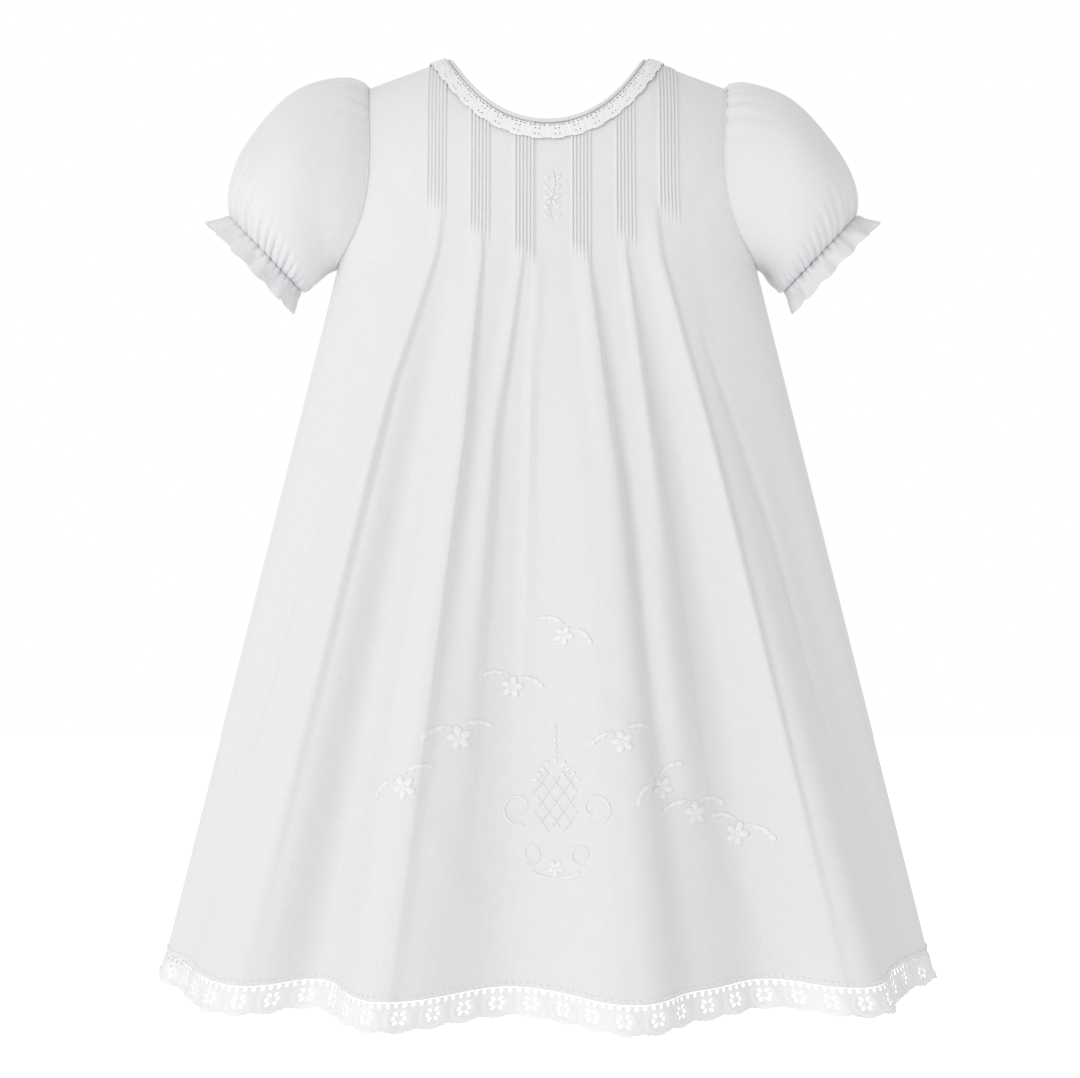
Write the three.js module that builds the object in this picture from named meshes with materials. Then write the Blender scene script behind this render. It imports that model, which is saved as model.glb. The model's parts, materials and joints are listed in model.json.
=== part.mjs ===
// A newborn's daygown in white batiste, filled out as if worn and held up at the shoulders.
// Millimetres, +Z up, the front faces -Y, the gown's own left sleeve is at +X.
// The origin is midway between the two points where the shoulder seams meet the neck.
// Every panel is a closed wall: an outer sheet, the same sheet moved in by the wall, and a rim.
import * as THREE from "three";

// Walls and gaps.
const CLOTH = 1.0; // wall of the body and sleeves
const LACE = 0.8; // wall of the lace
const SEAM = 0.4; // between two pieces that are sewn together

// The body, as drops below the neck points and half widths.
const NECK_HALF = 54.5; // cut edge of the neck, under the binding
const NECK_DROP = { front: 42.5, back: 27 };
const SHOULDER_HALF = 96;
const SHOULDER_DROP = 15;
const UNDERARM_HALF = 113;
const UNDERARM_DROP = 112;
const HEM_HALF = 205;
const HEM_DROP = 479; // at the side seams
const HEM_DIP = 8; // more than that at the middle of the front and of the back
const CHEST_LINE = 50; // drop below which the body deepens
const CHEST_DEPTH = { front: 50, back: 46 };
const HEM_DEPTH = { front: 90, back: 84 };
const SHOULDER_ROUND = 60; // height over which a shoulder rounds forward from its seam
const CHEST_ROUNDNESS = 2.4; // exponent of the body's section, 2 being an ellipse
const HEM_ROUNDNESS = 2.2;

// Trims.
const BINDING_WIDTH = 2.4;
const BINDING_PROUD = 0.6;
const NECK_LACE_WIDTH = 9;
const LACE_CLEAR = 1.2; // between the cut edge of the neck and the lace
const NECK_LACE_OFF = CLOTH + 3 * SEAM; // it passes over the tucks and the placket
const HEM_LACE_WIDTH = 15;
const FLUTE_HEIGHT = 1.2; // small waves of the hem lace
const FLUTES_ROUND_HEM = 36;
const PLACKET = { half: 7, rows: 9 }; // it ends at a row of the back
const BUTTON = { radius: 5.2, thick: 2.2, dish: 0.6, first: 41, spacing: 48, count: 3 };

// Pintucks: six stitched folds to a group, three groups each side of the middle.
const TUCK_PITCH = 1.8;
const TUCKS_IN_GROUP = 6;
const TUCK_HEIGHT = 0.9;
const TUCK_CLEARANCE = 0.004; // across the cloth, between a stitch line and the next thread
const TUCKS_END = 1.05; // row below the last of them
const TUCK_FADE = 12; // height over which a tuck opens, down to its group's drop
const TUCK_GROUPS = table(["centre", "drop"], [
  [-58.1, 91],
  [-35.4, 106],
  [-12.4, 117],
  [17.2, 117],
  [40.2, 108],
  [62.9, 95],
]);

// Folds. centre and hem are the crest's place across the cloth at its start and at the hem, from -1 at
// one side seam to 1 at the other. left and right are how far each flank reaches across the cloth.
// Heights are in mm at the fold's fullest and negative in a valley. start, full and end are drops.
const FOLD_COLUMNS = ["centre", "hem", "height", "left", "right", "start", "full", "end"];
const FOLDS = {
  front: table(FOLD_COLUMNS, [
    [-0.74, -0.78, -4, 0.14, 0.14, 130, 470, 900],
    [-0.49, -0.52, 12, 0.22, 0.12, 90, 480, 900],
    [-0.38, -0.375, -11, 0.09, 0.1, 120, 480, 900],
    [-0.27, -0.235, 17, 0.11, 0.18, 105, 480, 900],
    [-0.02, -0.03, -11, 0.16, 0.13, 190, 480, 900],
    [0.09, 0.115, 18, 0.17, 0.105, 112, 480, 900],
    [0.275, 0.24, 7, 0.07, 0.06, 108, 300, 440],
    [0.36, 0.34, -13, 0.14, 0.13, 120, 480, 900],
    [0.488, 0.53, 16, 0.15, 0.14, 92, 480, 900],
    [0.74, 0.77, -5, 0.14, 0.14, 130, 470, 900],
  ]),
  back: table(FOLD_COLUMNS, [
    [-0.62, -0.66, 11, 0.18, 0.16, 70, 480, 900],
    [-0.4, -0.42, -9, 0.13, 0.13, 110, 480, 900],
    [-0.2, -0.2, 13, 0.15, 0.14, 60, 480, 900],
    [0.02, 0.02, -8, 0.14, 0.14, 200, 480, 900],
    [0.23, 0.24, 13, 0.15, 0.16, 60, 480, 900],
    [0.44, 0.46, -9, 0.13, 0.13, 110, 480, 900],
    [0.64, 0.69, 10, 0.16, 0.16, 70, 480, 900],
  ]),
};
const HEM_FOLLOWS_FOLD = 0.25; // how much lower a crest hangs, for each mm that it stands out

// A sleeve: the line over the arm, the line under it and the depth of each section, at +X.
const SLEEVE_SECTIONS = table(["topX", "topZ", "underX", "underZ", "depth", "oval"], [
  [96.9, -15, 114.1, -112, 34, 0], // armhole seam
  [107, -10.5, 116.6, -113, 41, 0.4], // gathered head
  [124, -12.5, 119.4, -115, 45, 0.75], // crown
  [139, -20.5, 121.8, -117.5, 47, 0.95], // puff
  [154, -35.5, 124.6, -120, 46, 1],
  [165.5, -52, 128, -122, 42, 1],
  [171, -70, 131.5, -123.5, 34, 1], // drawn in
  [171, -85, 134.5, -123, 26, 1], // elastic
]);
const SUNK = { out: 4.5, down: 6 }; // the left puff has sunk by this much
const FRILL_OUT = 12; // the frill's reach along the arm
const FRILL_FLARE = 7;
const FRILL_FLUTE = 2.4;
const FRILL_FLUTES = 9;

// How finely each sheet is cut.
const YOKE_ROWS = 8; // a sleeve has twice as many columns
const FRONT_SKIRT_ROWS = 11;
const BACK_SKIRT_ROWS = 8;
const SKIRT_COLUMNS = 18; // each side of the middle
const NECK_COLUMNS = 8; // each quarter of the neck
const SHOULDER_COLUMNS = 4;
const CUFF_COLUMNS = 4 * FRILL_FLUTES;
const HEM_COLUMNS = 2 * FLUTES_ROUND_HEM;

const FRONT = -1;
const BACK = 1;
const NAMES = { [FRONT]: "front", [BACK]: "back" };
const QUARTER = Math.PI / 2;

function table(columns, rows) {
  return rows.map((row) => Object.fromEntries(columns.map((name, i) => [name, row[i]])));
}

const lerp = (a, b, t) => a + (b - a) * t;
const clamp = (x, low, high) => Math.min(high, Math.max(low, x));
const smooth = (t) => clamp(t, 0, 1) ** 2 * (3 - 2 * clamp(t, 0, 1));
const steps = (n, from = 0, to = 1) => Array.from({ length: n + 1 }, (_, i) => lerp(from, to, i / n));

// ---- The form: a general figure, widest and deepest at the hem ----

// 0 at and above the underarm, 1 at the hem.
const flare = (z) => Math.max(0, (-UNDERARM_DROP - z) / (HEM_DROP - UNDERARM_DROP));
const halfWidth = (z) => lerp(UNDERARM_HALF, HEM_HALF, flare(z));

// Half depth of the body, which grows from the chest line down.
function depth(side, z) {
  const down = Math.max(0, (-CHEST_LINE - z) / (HEM_DROP - CHEST_LINE));
  return lerp(CHEST_DEPTH[NAMES[side]], HEM_DEPTH[NAMES[side]], down ** 1.25);
}

// Half width of the panels along the armhole seam, from the shoulder tip to the underarm.
function armholeX(z) {
  const down = clamp((-SHOULDER_DROP - z) / (UNDERARM_DROP - SHOULDER_DROP), 0, 1);
  const hollow = 2.7 * Math.sin(Math.PI * down);
  return SHOULDER_HALF - hollow + (UNDERARM_HALF - SHOULDER_HALF) * down ** 5;
}

// Height of the shoulder seam, level inside the neck.
const shoulderZ = (x) =>
  (-SHOULDER_DROP * Math.max(0, Math.abs(x) - NECK_HALF)) / (SHOULDER_HALF - NECK_HALF);

// The neck's dip, 1 at its lowest and 0 at the shoulder seam, for across from 0 to 1.
const neckDip = (across) => Math.max(0, 1 - across ** 2) * (1 + 0.3 * across ** 2);

// Where the form lies at a place in the front view, on the side asked for.
function formPoint(side, x, z) {
  const power = lerp(CHEST_ROUNDNESS, HEM_ROUNDNESS, Math.min(1, flare(z)));
  const section = Math.max(0, 1 - (Math.abs(x) / halfWidth(z)) ** power) ** (1 / power);
  const round = 1 - clamp((shoulderZ(x) - z) / SHOULDER_ROUND, 0, 1);
  const y = side * (depth(side, z) * section * Math.sqrt(1 - round ** 2) + SEAM / 2);
  return new THREE.Vector3(x, y, z);
}

// ---- The cloth: u runs across a panel from -1 to 1, v from 0 at the top through 1 to 2 at the hem ----

// How far out a thread of the cloth lies at a height. Threads run straight down the yoke and fan below.
function threadX(u, z) {
  const a = Math.abs(u);
  const drawn = UNDERARM_HALF * Math.sin(QUARTER * a * (0.62 + 0.38 * a ** 3)) ** (2 / CHEST_ROUNDNESS);
  const spread = HEM_HALF * Math.sin(QUARTER * a) ** (2 / HEM_ROUNDNESS);
  const narrowing = (1 - armholeX(z) / UNDERARM_HALF) * a ** 2.2;
  return Math.sign(u) * (flare(z) > 0 ? lerp(drawn, spread, flare(z)) : drawn * (1 - narrowing));
}

// The thread that passes a place at a height.
function threadAt(x, z) {
  let low = 0;
  let high = 1;
  for (let i = 0; i < 30; i++) {
    const middle = (low + high) / 2;
    if (threadX(middle, z) < Math.abs(x)) low = middle;
    else high = middle;
  }
  return Math.sign(x) * low;
}

function topZ(side, u) {
  const x = Math.abs(threadX(u, -SHOULDER_DROP));
  return x < NECK_HALF ? -NECK_DROP[NAMES[side]] * neckDip(x / NECK_HALF) : shoulderZ(x);
}

function foldHeight(side, u, z) {
  let height = 0;
  for (const fold of FOLDS[NAMES[side]]) {
    const down = (-z - fold.start) / (fold.full - fold.start);
    if (down <= 0) continue;
    const away = u - lerp(fold.centre, fold.hem, Math.min(1, down));
    const across = Math.abs(away) / (away < 0 ? fold.left : fold.right);
    const ending = smooth((-z - fold.full) / (fold.end - fold.full));
    if (across < 1) {
      const crest = (1 + Math.cos(Math.PI * across)) / 2;
      height += fold.height * Math.min(1.1, down ** 0.85) * crest * (1 - ending);
    }
  }
  return height;
}

function hemZ(side, u) {
  const level = -HEM_DROP - HEM_DIP * (1 - u ** 2);
  return level - HEM_FOLLOWS_FOLD * foldHeight(side, u, -HEM_DROP);
}

// Rows of the yoke lie closer at the shoulder and at the underarm, as a sleeve's columns do.
const rowZ = (side, u, v) =>
  v <= 1
    ? lerp(topZ(side, u), -UNDERARM_DROP, (1 - Math.cos(Math.PI * v)) / 2)
    : lerp(-UNDERARM_DROP, hemZ(side, u), v - 1);

// The outward direction of a surface given as a function of two numbers, within their limits.
function outward(surface, a, b, step, sign, low, high) {
  const clampA = (t) => clamp(t, low[0], high[0]);
  const clampB = (t) => clamp(t, low[1], high[1]);
  const alongA = surface(clampA(a + step), b).sub(surface(clampA(a - step), b));
  const alongB = surface(a, clampB(b + step)).sub(surface(a, clampB(b - step)));
  return alongA.cross(alongB).normalize().multiplyScalar(sign);
}

const PANEL_LOW = [-1, 0];
const PANEL_HIGH = [1, 2.2];

function plainPoint(side, u, v) {
  const z = rowZ(side, u, v);
  return formPoint(side, threadX(u, z), z);
}

// A point of the folded cloth.
function clothPoint(side, u, v) {
  const plain = (a, b) => plainPoint(side, a, b);
  const out = outward(plain, u, v, 0.004, side, PANEL_LOW, PANEL_HIGH);
  return plain(u, v).addScaledVector(out, foldHeight(side, u, rowZ(side, u, v)));
}

// A point that lies off the folded cloth by a distance, outwards.
function offCloth(side, u, v, off) {
  const folded = (a, b) => clothPoint(side, a, b);
  const out = outward(folded, u, v, 0.006, side, PANEL_LOW, PANEL_HIGH);
  return folded(u, v).addScaledVector(out, off);
}

// The columns of half a yoke: those of the neck ring, then those along the shoulder.
const neckTurns = steps(NECK_COLUMNS, 0, QUARTER);
const yokeHalf = [
  ...neckTurns.map((angle) => NECK_HALF * Math.sin(angle)),
  ...steps(SHOULDER_COLUMNS, NECK_HALF, SHOULDER_HALF).slice(1, -1),
].map((x) => threadAt(x, -SHOULDER_DROP));
yokeHalf.push(1);

// The same on both sides of the middle.
const mirrored = (half) => [...half.slice(1).map((u) => -u).reverse(), ...half];

// ---- Sheets and walls ----

// Adds the triangles between two rows of {at, p}, each sorted by at, whatever their counts.
function zip(triangles, upper, lower) {
  let i = 0;
  let j = 0;
  while (i < upper.length - 1 || j < lower.length - 1) {
    const takeUpper =
      j === lower.length - 1 || (i < upper.length - 1 && upper[i + 1].at <= lower[j + 1].at);
    const third = takeUpper ? upper[++i] : lower[++j];
    const corners = takeUpper ? [upper[i - 1], lower[j], third] : [upper[i], lower[j - 1], third];
    triangles.push(corners.map((corner) => corner.p));
  }
}

// A closed wall from the rows of its outer and inner sheets. A ring's rows end where they start.
function wall(outer, inner, isRing) {
  const triangles = [];
  const last = outer.length - 1;
  for (let i = 0; i < last; i++) {
    zip(triangles, outer[i], outer[i + 1]);
    zip(triangles, inner[i + 1], inner[i]);
  }
  zip(triangles, inner[0], outer[0]);
  zip(triangles, outer[last], inner[last]);
  if (!isRing) {
    const edge = (rows, pick) => rows.map((row, i) => ({ at: i, p: pick(row).p }));
    const first = (row) => row[0];
    const end = (row) => row[row.length - 1];
    zip(triangles, edge(outer, first), edge(inner, first));
    zip(triangles, edge(inner, end), edge(outer, end));
  }
  return solidFrom(triangles);
}

// A geometry from triangles, turned to face out if it came out inside out.
function solidFrom(triangles) {
  const volume = triangles.reduce((sum, [a, b, c]) => sum + a.dot(b.clone().cross(c)), 0);
  const facing = volume < 0 ? triangles.map(([a, b, c]) => [a, c, b]) : triangles;
  const geometry = new THREE.BufferGeometry().setFromPoints(facing.flat());
  geometry.computeVertexNormals();
  return geometry;
}

// ---- The front, with its pintucks ----

const YOKE_LEVEL = -60;
const tuckLines = TUCK_GROUPS.map(({ centre, drop }) => ({
  drop,
  lines: steps(2 * TUCKS_IN_GROUP, -TUCKS_IN_GROUP, TUCKS_IN_GROUP).map((half, i) => ({
    u: threadAt(centre + (half * TUCK_PITCH) / 2, YOKE_LEVEL),
    isCrest: i % 2 === 1,
  })),
}));

// A row of the front: its plain threads, and the tucks' crests and valleys where they are stitched.
function frontRow(v, off, hasTucks) {
  const plain = v < 1 ? mirrored(yokeHalf) : steps(2 * SKIRT_COLUMNS, -1, 1);
  const stitched = tuckLines.flatMap(({ drop, lines }) =>
    lines.flatMap(({ u, isCrest }) => {
      const open = smooth((-rowZ(FRONT, u, v) - drop + TUCK_FADE) / TUCK_FADE);
      return open < 1 && hasTucks ? [{ u, rise: isCrest ? TUCK_HEIGHT * (1 - open) : 0 }] : [];
    }),
  );
  const isClear = (u) => stitched.every((line) => Math.abs(line.u - u) > TUCK_CLEARANCE);
  return [...plain.filter(isClear).map((u) => ({ u, rise: 0 })), ...stitched]
    .sort((a, b) => a.u - b.u)
    .map(({ u, rise }) => ({ at: u, p: offCloth(FRONT, u, v, off + rise) }));
}

function frontPanel() {
  const rows = [...steps(YOKE_ROWS), TUCKS_END, ...steps(FRONT_SKIRT_ROWS, 1, 2).slice(1)];
  return wall(
    rows.map((v) => frontRow(v, 0, true)),
    rows.map((v) => frontRow(v, -CLOTH, false)),
    false,
  );
}

// ---- The back, in two halves that meet at the middle ----

const backRows = [...steps(YOKE_ROWS), ...steps(BACK_SKIRT_ROWS, 1, 2).slice(1)];
const placketHalf = threadAt(PLACKET.half, YOKE_LEVEL);

// The columns of one half at a row, with one along the placket's edge.
function backColumns(hand, v) {
  const middle = threadAt(SEAM / 2, YOKE_LEVEL);
  const rest = (v < 1 ? yokeHalf : steps(SKIRT_COLUMNS)).filter((u) => u > placketHalf * 1.2);
  const half = [middle, placketHalf, ...rest];
  return hand > 0 ? half : half.map((u) => -u).reverse();
}

function backPanel(hand) {
  const row = (v, off) => backColumns(hand, v).map((u) => ({ at: u, p: offCloth(BACK, u, v, off) }));
  const sheet = (off) => backRows.map((v) => row(v, off));
  return wall(sheet(0), sheet(-CLOTH), false);
}

// The placket lies over the middle of the back, from the neck down, and the buttons lie on it.
function placket() {
  const rows = backRows.slice(0, PLACKET.rows + 1);
  const across = [-placketHalf, 0, placketHalf];
  const sheet = (off) => rows.map((v) => across.map((u) => ({ at: u, p: offCloth(BACK, u, v, off) })));
  return wall(sheet(SEAM + CLOTH), sheet(SEAM), false);
}

// The v of a drop at the middle of the back.
function backV(drop) {
  const yoke = (drop - NECK_DROP.back) / (UNDERARM_DROP - NECK_DROP.back);
  return yoke < 1
    ? Math.acos(1 - 2 * yoke) / Math.PI
    : 1 + (drop - UNDERARM_DROP) / (-hemZ(BACK, 0) - UNDERARM_DROP);
}

function button(index) {
  const { radius, thick, dish } = BUTTON;
  const profile = [
    [0, 0],
    [radius * 0.9, 0],
    [radius, thick / 3],
    [radius * 0.92, thick],
    [radius * 0.7, thick],
    [radius * 0.6, thick - dish],
    [0, thick - dish],
  ];
  const geometry = new THREE.LatheGeometry(profile.map(([x, y]) => new THREE.Vector2(x, y)), 18);
  const v = backV(BUTTON.first + index * BUTTON.spacing);
  const on = offCloth(BACK, 0, v, 2 * SEAM + CLOTH);
  const out = offCloth(BACK, 0, v, 10).sub(on).normalize();
  geometry.applyQuaternion(new THREE.Quaternion().setFromUnitVectors(new THREE.Vector3(0, 1, 0), out));
  geometry.translate(on.x, on.y, on.z);
  return geometry;
}

// ---- The neck: turn runs from -1 to 1, from the middle of the back round the front and home ----

// A point at a distance outside the cut edge of the neck, along the cloth.
function neckForm(turn, away) {
  const side = Math.abs(turn) <= 0.5 ? FRONT : BACK;
  const angle = turn * Math.PI;
  const reach = NECK_HALF + away;
  const dip = neckDip(Math.abs(Math.sin(angle)));
  const z = -(NECK_DROP[NAMES[side]] + away) * dip + shoulderZ(reach) * (1 - dip);
  const p = formPoint(side, reach * Math.sin(angle), z);
  p.y -= (side * SEAM) / 2; // the ring runs on over the shoulder seam
  return p;
}

function neckPoint(turn, away, off) {
  const out = outward(neckForm, turn, away, 0.01, -1, [-1, -9], [1, 99]);
  return neckForm(turn, away).addScaledVector(out, off);
}

const NECK_END = 1 - SEAM / 2 / (Math.PI * NECK_HALF); // each end stops short of the middle of the back

// The turns from one end at the middle of the back to the other, closest at the shoulders.
const ringTurns = (() => {
  const quarter = neckTurns.map((angle) => angle / Math.PI);
  const half = [...quarter, ...quarter.slice(1, -1).map((t) => 1 - t).reverse(), NECK_END];
  return mirrored(half);
})();

function neckRing(aways, outer, inner) {
  const sheet = (off) => aways.map((away) => ringTurns.map((t) => ({ at: t, p: neckPoint(t, away, off) })));
  return wall(sheet(outer), sheet(inner), false);
}

const neckBinding = () =>
  neckRing([-SEAM - BINDING_WIDTH, -SEAM], BINDING_PROUD, -CLOTH - BINDING_PROUD);

const neckLace = () =>
  neckRing([LACE_CLEAR, NECK_LACE_WIDTH], NECK_LACE_OFF + LACE, NECK_LACE_OFF);

// ---- The hem lace: round runs from 0 to 4, front from side to side, then back ----

function hemPoint(round, drop, off) {
  const side = round <= 2 ? FRONT : BACK;
  const u = side === FRONT ? round - 1 : 3 - round;
  const v = 2 + drop / (HEM_DROP - UNDERARM_DROP);
  const flute = FLUTE_HEIGHT * Math.sin((round / 4) * 2 * Math.PI * FLUTES_ROUND_HEM);
  const p = offCloth(side, u, v, off + (flute * drop) / HEM_LACE_WIDTH);
  p.y -= (side * SEAM) / 2; // the ring closes at the side seams
  return p;
}

function hemLace() {
  const rounds = steps(HEM_COLUMNS, 0, 4);
  const drops = [SEAM, HEM_LACE_WIDTH];
  const sheet = (off) => drops.map((d) => rounds.map((r) => ({ at: r, p: hemPoint(r % 4, d, off) })));
  return wall(sheet(-0.1), sheet(-0.1 - LACE), true);
}

// ---- Sleeves: turn runs from 0 at the shoulder, round the front and under the arm, to 1 ----

// The sleeve's sections, eased between with one smooth curve through each column of the table.
function sectionAt(t) {
  const place = clamp(t, 0, 1) * (SLEEVE_SECTIONS.length - 1);
  const i = Math.min(Math.floor(place), SLEEVE_SECTIONS.length - 2);
  const row = (k) => SLEEVE_SECTIONS[clamp(k, 0, SLEEVE_SECTIONS.length - 1)];
  const f = place - i;
  const ease = (name) => {
    const [a, b, c, d] = [row(i - 1)[name], row(i)[name], row(i + 1)[name], row(i + 2)[name]];
    return b + 0.5 * f * (c - a + f * (2 * a - 5 * b + 4 * c - d + f * (3 * (b - c) + d - a)));
  };
  return Object.fromEntries(Object.keys(SLEEVE_SECTIONS[0]).map((name) => [name, ease(name)]));
}

// A point of a sleeve at +X. t runs from 0 at the armhole to 1 at the elastic and 2 at the frill's edge.
function sleevePoint(turn, t, sunk) {
  const angle = 2 * Math.PI * turn;
  const down = (1 - Math.cos(angle)) / 2;
  const section = sectionAt(t);
  const seamZ = lerp(-SHOULDER_DROP, -UNDERARM_DROP, down);
  const seam = formPoint(turn <= 0.5 ? FRONT : BACK, armholeX(seamZ), seamZ);
  const hollow = seam.x - lerp(SHOULDER_HALF, UNDERARM_HALF, down);
  const round = lerp(seam.y / SLEEVE_SECTIONS[0].depth, -Math.sin(angle), section.oval);
  const p = new THREE.Vector3(
    lerp(section.topX, section.underX, down) + hollow * (1 - section.oval),
    section.depth * round,
    lerp(section.topZ, section.underZ, down),
  );
  p.x -= sunk * SUNK.out * smooth(t);
  p.z -= sunk * SUNK.down * Math.sin(Math.PI * Math.min(t, 1)) * (1 - down);
  return t > 1 ? p.add(frillReach(angle, t - 1)) : p;
}

// How far a point of the frill lies from the elastic.
function frillReach(angle, reach) {
  const cuff = SLEEVE_SECTIONS[SLEEVE_SECTIONS.length - 1];
  const up = new THREE.Vector3(cuff.topX - cuff.underX, 0, cuff.topZ - cuff.underZ).normalize();
  const arm = new THREE.Vector3(up.z, 0, -up.x);
  const away = up.multiplyScalar(Math.cos(angle));
  away.y = -Math.sin(angle);
  const flute = FRILL_FLUTE * Math.cos(angle * FRILL_FLUTES) * reach;
  return arm.multiplyScalar(FRILL_OUT * reach).addScaledVector(away, FRILL_FLARE * reach ** 0.7 + flute);
}

function sleeve(hand) {
  const sunk = hand > 0 ? 1 : 0;
  const form = (turn, t) => sleevePoint(turn, t, sunk);
  const point = (turn, t, off) => {
    const out = outward(form, turn, t, 0.01, 1, [-1, 0], [2, 2]);
    const p = form(turn, t).addScaledVector(out, off);
    p.x *= hand;
    return p;
  };
  const rows = [...steps(6, 0, 0.86), 1, 1.25, 1.6, 2];
  const columns = rows.map((t) => (t < 0.9 ? 2 * YOKE_ROWS : CUFF_COLUMNS));
  const sheet = (off) =>
    rows.map((t, i) => steps(columns[i]).map((turn) => ({ at: turn, p: point(turn % 1, t, off) })));
  return wall(sheet(0), sheet(-CLOTH), true);
}

// ---- The gown ----

const batiste = new THREE.MeshStandardMaterial({ color: "#f4f4f5", roughness: 0.9, side: THREE.DoubleSide });
const lace = new THREE.MeshStandardMaterial({ color: "#f8f8f8", roughness: 0.85, side: THREE.DoubleSide });
const pearl = new THREE.MeshStandardMaterial({ color: "#f3f1ec", roughness: 0.35 });

function piece(name, geometry, material) {
  const mesh = new THREE.Mesh(geometry, material);
  mesh.name = name;
  return mesh;
}

const daygown = new THREE.Group();
daygown.add(
  piece("front_panel", frontPanel(), batiste),
  piece("back_left", backPanel(1), batiste),
  piece("back_right", backPanel(-1), batiste),
  piece("back_placket", placket(), batiste),
  piece("sleeve_left", sleeve(1), batiste),
  piece("sleeve_right", sleeve(-1), batiste),
  piece("neck_binding", neckBinding(), batiste),
  piece("neck_lace", neckLace(), lace),
  piece("hem_lace", hemLace(), lace),
);
for (let i = 0; i < BUTTON.count; i++) daygown.add(piece(`button_${i + 1}`, button(i), pearl));

export default daygown;
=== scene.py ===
"""A newborn's daygown in white batiste, filled out as if worn: cloth, tucks, lace, embroidery, light.

Sizes are millimetres in the gown's own frame until a mesh is written, which is in metres.
"""

import json
import logging
from dataclasses import dataclass, field
from math import pi
from typing import Callable

import bmesh
import bpy
import numpy as np
from mathutils import Matrix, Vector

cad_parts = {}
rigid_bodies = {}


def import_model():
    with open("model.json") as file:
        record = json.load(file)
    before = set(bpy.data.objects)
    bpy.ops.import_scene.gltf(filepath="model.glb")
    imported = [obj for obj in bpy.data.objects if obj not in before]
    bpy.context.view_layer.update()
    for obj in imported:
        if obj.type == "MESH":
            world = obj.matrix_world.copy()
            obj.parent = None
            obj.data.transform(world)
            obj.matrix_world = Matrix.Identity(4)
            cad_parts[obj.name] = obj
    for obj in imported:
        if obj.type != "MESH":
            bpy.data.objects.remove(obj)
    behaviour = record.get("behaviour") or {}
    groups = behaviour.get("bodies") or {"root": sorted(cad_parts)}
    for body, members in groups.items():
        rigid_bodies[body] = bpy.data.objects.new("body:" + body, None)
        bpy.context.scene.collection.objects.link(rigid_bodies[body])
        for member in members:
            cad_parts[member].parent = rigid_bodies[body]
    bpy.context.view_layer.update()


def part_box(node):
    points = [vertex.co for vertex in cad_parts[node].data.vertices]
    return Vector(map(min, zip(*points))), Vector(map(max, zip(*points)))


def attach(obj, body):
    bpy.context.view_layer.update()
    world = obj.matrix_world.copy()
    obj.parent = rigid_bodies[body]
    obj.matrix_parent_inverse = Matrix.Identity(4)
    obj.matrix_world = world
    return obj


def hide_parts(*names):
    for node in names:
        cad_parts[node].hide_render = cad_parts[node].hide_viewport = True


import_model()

LOG = logging.getLogger("daygown")
MM = 0.001
Array = np.ndarray
Place = Callable[[Array, Array], Array]


# ---------------------------------------------------------------- small helpers


def lerp(a: Array, b: Array, t: Array) -> Array:
    """Returns the value a share t of the way from a to b."""
    return a + (b - a) * t


def smooth(t: Array) -> Array:
    """Returns 0 to 1, eased at both ends."""
    t = np.clip(t, 0.0, 1.0)
    return t * t * (3 - 2 * t)


def crimp(phase: Array) -> Array:
    """Returns a wave from -1 to 1 with round ridges and sharp valleys."""
    return 2 * np.abs(np.sin(phase / 2)) - 1


def linear(hex_colour: str) -> tuple[float, float, float, float]:
    """Turns an sRGB hex colour to linear.

    Args:
        hex_colour: such as "#f2f2f4".

    Returns:
        Red, green, blue and an alpha of 1.
    """
    parts = [int(hex_colour[i : i + 2], 16) / 255 for i in (1, 3, 5)]
    flat = [c / 12.92 if c <= 0.04045 else ((c + 0.055) / 1.055) ** 2.4 for c in parts]
    return (*flat, 1.0)


def add_node(tree: bpy.types.NodeTree, kind: str, settings: dict | None = None, **inputs) -> bpy.types.Node:
    """Adds a node with its settings and links.

    Args:
        tree: the node tree.
        kind: the node's type.
        settings: values of its properties.
        inputs: values of its sockets, or the output socket that feeds them; _ stands for a space.

    Returns:
        The node.
    """
    node = tree.nodes.new(kind)
    for name, value in (settings or {}).items():
        setattr(node, name, value)
    for name, value in inputs.items():
        socket = node.inputs[name.replace("_", " ")]
        if isinstance(value, bpy.types.NodeSocket):
            tree.links.new(value, socket)
        else:
            socket.default_value = value
    return node


# ---------------------------------------------------------------- finishes


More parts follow.
